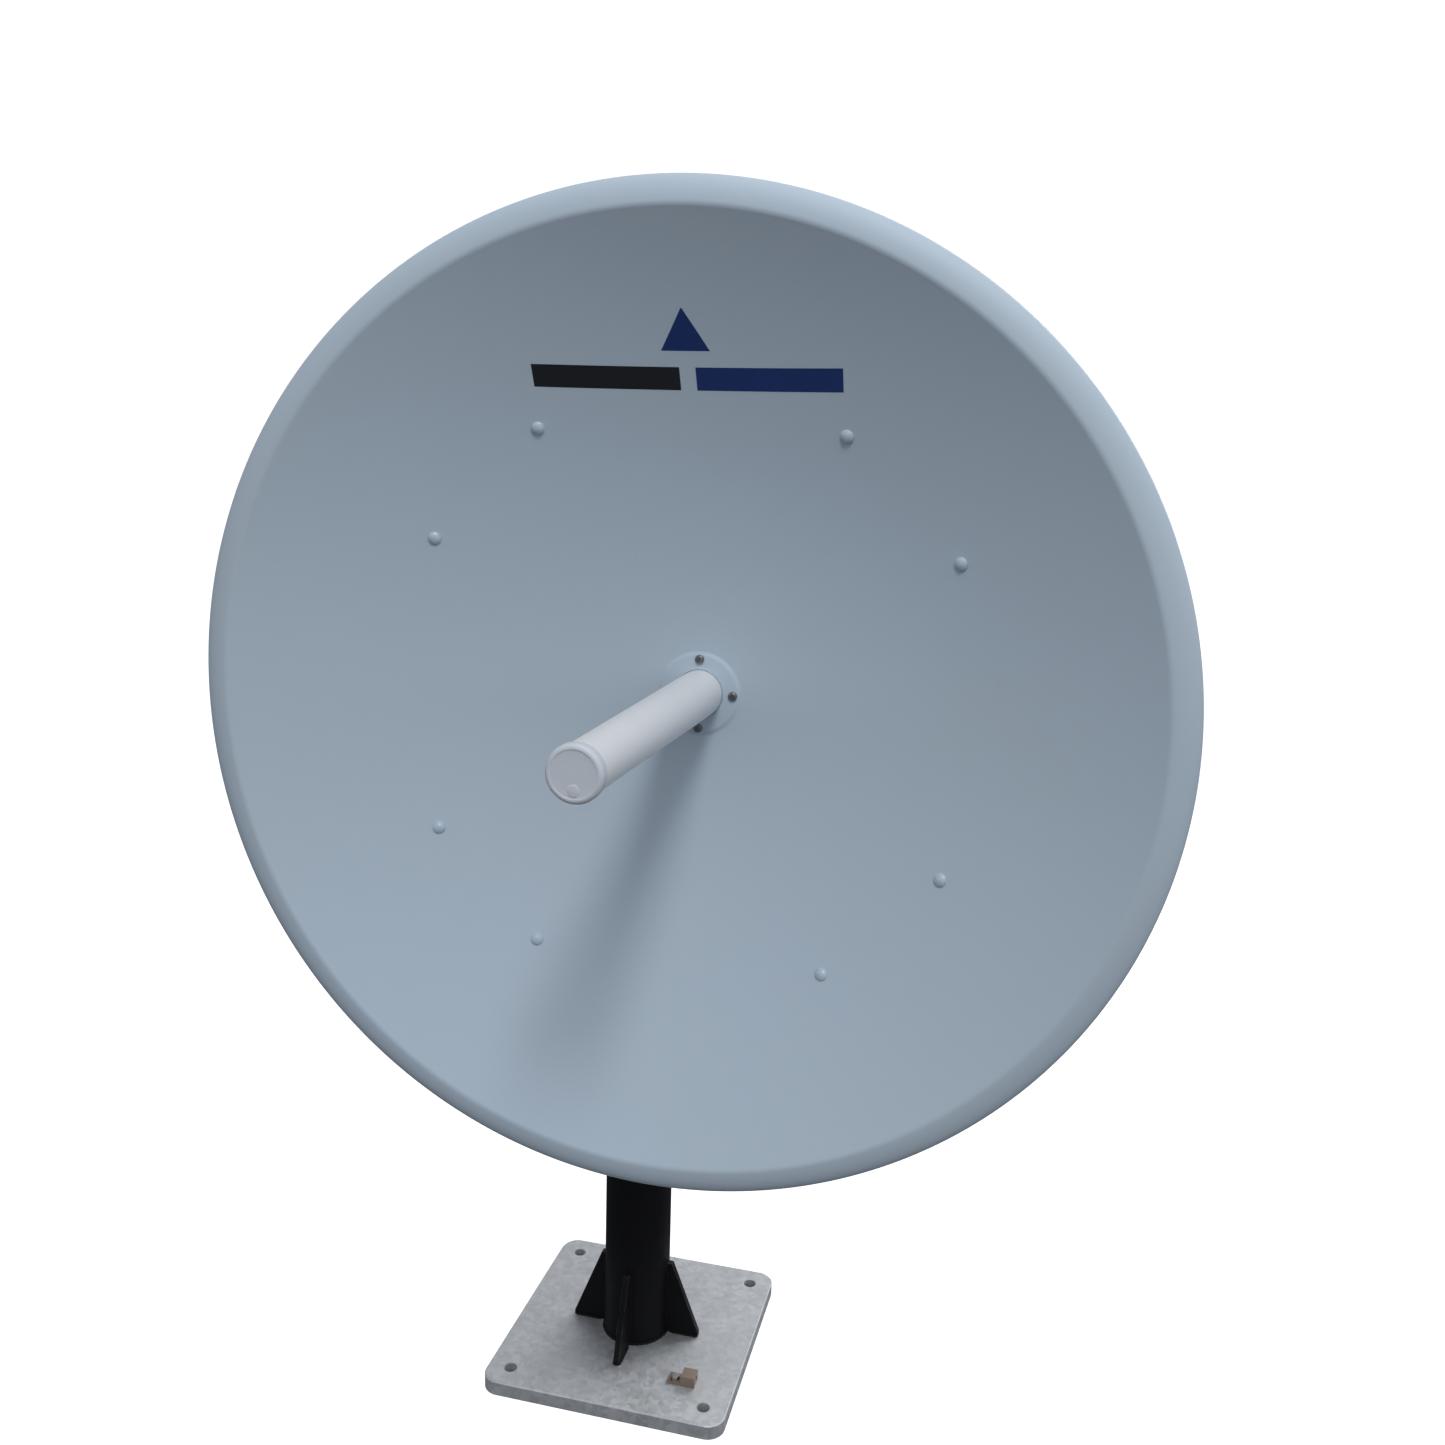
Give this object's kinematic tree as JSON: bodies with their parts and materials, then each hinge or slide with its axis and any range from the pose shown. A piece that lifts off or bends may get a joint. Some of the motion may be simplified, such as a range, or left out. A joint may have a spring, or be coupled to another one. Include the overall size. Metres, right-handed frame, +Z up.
{
  "type": "parabolic reflector antenna",
  "caption": "Solid parabolic dish antenna with rolled rim and white centre feed tube, on a back ring with elevation and azimuth adjusters, clamped to a gusseted pipe mast.",
  "frame": {"origin": "centre of the base plate's underside, on the mast axis", "axes": "+Z up along the mast, the dish looks along -Y, its axis lies 178 mm to the +X side of the mast"},
  "size_m": [1.22, 1.029, 1.86],
  "materials": {
    "reflector_paint": "satin",
    "galvanised": "matte",
    "fastener_steel": "satin",
    "dome_bolt_paint": "satin",
    "mast_paint": "satin",
    "cast_aluminium": "cast",
    "machined_aluminium": "satin",
    "radome_plastic": "satin",
    "cap_plastic": "satin",
    "black_plastic": "matte",
    "nylon": "satin",
    "bronze": "satin",
    "seal_rubber": "matte",
    "connector_plate": "satin",
    "copper": "satin",
    "plate_aluminium": "satin"
  },
  "bodies": {
    "mast": {"base_plate": "galvanised", "mast_gussets": "mast_paint", "mast_pipe": "mast_paint", "mast_cap": "black_plastic", "ground_lug": "copper", "ground_bolt": "fastener_steel"},
    "azimuth_collar": {"azimuth_collar_front": "galvanised", "azimuth_collar_rear": "galvanised", "collar_bolts": "fastener_steel", "thrust_ring": "nylon"},
    "saddle": {"saddle_channel": "galvanised", "front_jaws": "cast_aluminium", "rear_jaws": "cast_aluminium", "jaw_screws": "fastener_steel", "clamp_studs": "fastener_steel", "clamp_nuts": "fastener_steel", "elevation_pivot_bolt": "fastener_steel", "pivot_washers": "fastener_steel", "elevation_lug": "galvanised", "lug_bolts": "fastener_steel", "azimuth_arm_plate": "galvanised", "arm_screws": "fastener_steel", "azimuth_pin": "fastener_steel"},
    "dish": {"reflector": "reflector_paint", "back_ring": "galvanised", "reflector_bolts": "dome_bolt_paint", "reflector_spacers": "nylon", "reflector_nuts": "fastener_steel", "frame_rail_top": "galvanised", "frame_rail_bottom": "galvanised", "rail_end_plugs": "black_plastic", "rail_bolts": "fastener_steel", "rail_nuts": "fastener_steel", "pivot_ear_right": "galvanised", "pivot_ear_left": "galvanised", "ear_bolts": "fastener_steel", "ear_nuts": "fastener_steel", "pivot_bushes": "bronze", "elevation_rod_pin": "fastener_steel", "feed_hub": "cast_aluminium", "feed_seal": "seal_rubber", "feed_flange": "reflector_paint", "feed_flange_screws": "fastener_steel", "feed_retainer": "machined_aluminium", "retainer_screws": "fastener_steel", "rating_plate": "plate_aluminium"},
    "feed": {"feed_radome": "radome_plastic", "feed_end_cap": "cap_plastic", "feed_waveguide": "machined_aluminium", "dielectric_support": "nylon", "splash_plate": "machined_aluminium", "waveguide_spacers": "nylon", "feed_transition": "cast_aluminium", "n_connector": "connector_plate", "connector_screws": "fastener_steel"},
    "elevation_rod": {"elevation_rod": "fastener_steel"},
    "elevation_nuts": {"elevation_nuts": "fastener_steel"},
    "azimuth_rod": {"azimuth_rod": "fastener_steel"},
    "azimuth_nuts": {"azimuth_nuts": "fastener_steel"}
  },
  "joints": [
    {"name": "azimuth_coarse", "type": "hinge", "parent": "mast", "child": "azimuth_collar", "pos_m": [0, 0, 1.043], "axis": [0, 0, 1], "continuous": true},
    {"name": "azimuth_fine", "type": "hinge", "parent": "azimuth_collar", "child": "saddle", "pos_m": [0, 0, 1.25], "axis": [0, 0, 1], "range_deg": [-10, 10]},
    {"name": "elevation", "type": "hinge", "parent": "saddle", "child": "dish", "pos_m": [0, -0.2, 1.11], "axis": [-1, 0, 0], "range_deg": [-15, 15]},
    {"name": "polarisation", "type": "hinge", "parent": "dish", "child": "feed", "pos_m": [0.178, -0.346, 1.25], "axis": [0, -1, 0], "range_deg": [-5, 95]},
    {"name": "elevation_rod_pivot", "type": "hinge", "parent": "dish", "child": "elevation_rod", "pos_m": [0.088, -0.2, 1.31], "axis": [-1, 0, 0], "range_deg": [-16, 16]},
    {"name": "elevation_nut_travel", "type": "slide", "parent": "elevation_rod", "child": "elevation_nuts", "axis": [0, 1, 0], "range_m": [-0.056, 0.056]},
    {"name": "azimuth_rod_pivot", "type": "hinge", "parent": "saddle", "child": "azimuth_rod", "pos_m": [-0.125, 0, 1.043], "axis": [0, 0, 1], "range_deg": [-11, 11]},
    {"name": "azimuth_nut_travel", "type": "slide", "parent": "azimuth_rod", "child": "azimuth_nuts", "axis": [0, 1, 0], "range_m": [-0.024, 0.024]}
  ],
  "couplings": [
    {"joint": "elevation_rod_pivot", "follows": "elevation", "ratio": -1},
    {"joint": "elevation_nut_travel", "follows": "elevation", "m_per_rad": -0.2},
    {"joint": "azimuth_rod_pivot", "follows": "azimuth_fine", "ratio": -1},
    {"joint": "azimuth_nut_travel", "follows": "azimuth_fine", "m_per_rad": 0.125}
  ]
}
